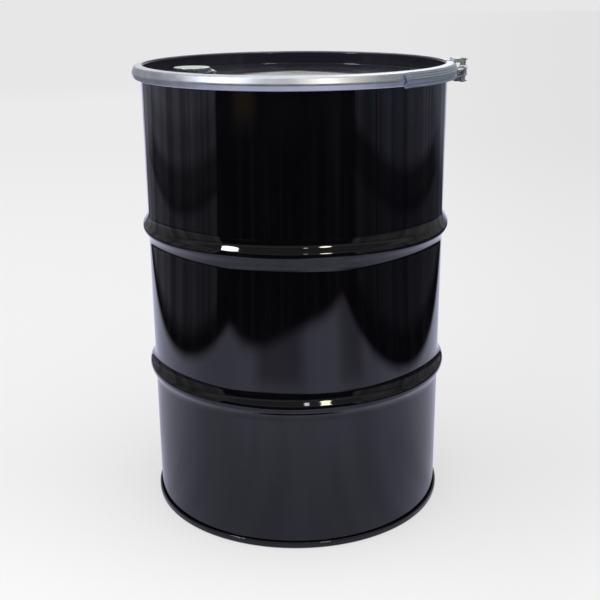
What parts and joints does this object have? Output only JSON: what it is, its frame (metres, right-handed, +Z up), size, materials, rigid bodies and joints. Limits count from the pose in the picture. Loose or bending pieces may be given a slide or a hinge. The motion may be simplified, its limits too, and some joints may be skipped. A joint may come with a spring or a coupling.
{
  "type": "steel oil drum",
  "caption": "Open-head steel drum with two rolling hoops, a removable gasketed cover with a screw bung, and a galvanised closing ring with an over-centre lever lock.",
  "frame": {"origin": "on the drum's axis at floor level, in the plane of the bottom seam's under face", "axes": "+Z up along the drum's axis; +X towards the lever lock; the lever lies along the ring on the -Y side"},
  "size_m": [0.6311, 0.6058, 0.871],
  "materials": {
    "black_enamel": "gloss black baked enamel over steel sheet",
    "galvanised_ring": "satin zinc-plated steel strip with fine lengthwise roll marks",
    "zinc_lock": "bright zinc-plated pressed steel",
    "bright_pin": "bright turned steel",
    "tinplate": "bright tinned sheet with a faint pink and green iridescence",
    "plated_fitting": "zinc-plated pressed steel",
    "rubber_black": "matt black sponge rubber",
    "rubber_white": "off-white sealing ring"
  },
  "bodies": {
    "drum": {"body_shell": "black_enamel", "bottom_head": "black_enamel", "seam_sealant": "rubber_black"},
    "ring": {"closing_ring": "galvanised_ring"},
    "front_ring_end": {"front_lug": "zinc_lock", "front_lug_rivets": "bright_pin", "lever_pivot_pin": "bright_pin"},
    "back_ring_end": {"back_lug": "zinc_lock", "back_lug_rivets": "bright_pin", "link_pivot_pin": "bright_pin", "link_spacers": "bright_pin"},
    "lever": {"lever": "zinc_lock", "lever_link_pins": "bright_pin"},
    "link": {"link_upper_plate": "zinc_lock", "link_lower_plate": "zinc_lock", "link_pin_heads": "bright_pin"},
    "cover": {"cover": "black_enamel", "cover_gasket": "rubber_black", "bung_flange": "plated_fitting", "bung_flange_gasket": "rubber_black"},
    "plug_carrier": {"bung_plug_gasket": "rubber_white"},
    "plug": {"bung_plug": "plated_fitting"},
    "seal": {"cap_seal": "tinplate"}
  },
  "joints": [
    {"name": "ring_lift", "type": "slide", "parent": "drum", "child": "ring", "axis": [0, 0, 1], "range_m": [0, 0.15]},
    {"name": "front_end_flex", "type": "hinge", "parent": "ring", "child": "front_ring_end", "pos_m": [-0.302, 0, 0.8535], "axis": [0, 0, -1], "range_deg": [0, 1.8]},
    {"name": "back_end_flex", "type": "hinge", "parent": "ring", "child": "back_ring_end", "pos_m": [-0.302, 0, 0.8535], "axis": [0, 0, 1], "range_deg": [0, 1.8]},
    {"name": "lever_swing", "type": "hinge", "parent": "front_ring_end", "child": "lever", "pos_m": [0.318, -0.012, 0.8485], "axis": [0, 0, 1], "range_deg": [0, 150], "deforming": ["closing_ring"]},
    {"name": "link_swing", "type": "hinge", "parent": "back_ring_end", "child": "link", "pos_m": [0.32, 0.012, 0.8485], "axis": [0, 0, 1], "range_deg": [0, 31]},
    {"name": "cover_lift", "type": "slide", "parent": "drum", "child": "cover", "axis": [0, 0, 1], "range_m": [0, 0.12]},
    {"name": "plug_rise", "type": "slide", "parent": "cover", "child": "plug_carrier", "axis": [0, 0, 1], "range_m": [0, 0.0165]},
    {"name": "plug_turn", "type": "hinge", "parent": "plug_carrier", "child": "plug", "pos_m": [-0.197, 0.039, 0.85], "axis": [0, 0, 1], "range_deg": [0, 2520]},
    {"name": "seal_lift", "type": "slide", "parent": "plug_carrier", "child": "seal", "axis": [0, 0, 1], "range_m": [0, 0.03]}
  ],
  "couplings": [
    {"joint": "front_end_flex", "follows": "lever_swing", "ratio": 0.011699},
    {"joint": "back_end_flex", "follows": "lever_swing", "ratio": 0.011699},
    {"joint": "link_swing", "follows": "lever_swing", "ratio": 0.20562},
    {"joint": "plug_rise", "follows": "plug_turn", "m_per_rad": 0.00036749}
  ]
}
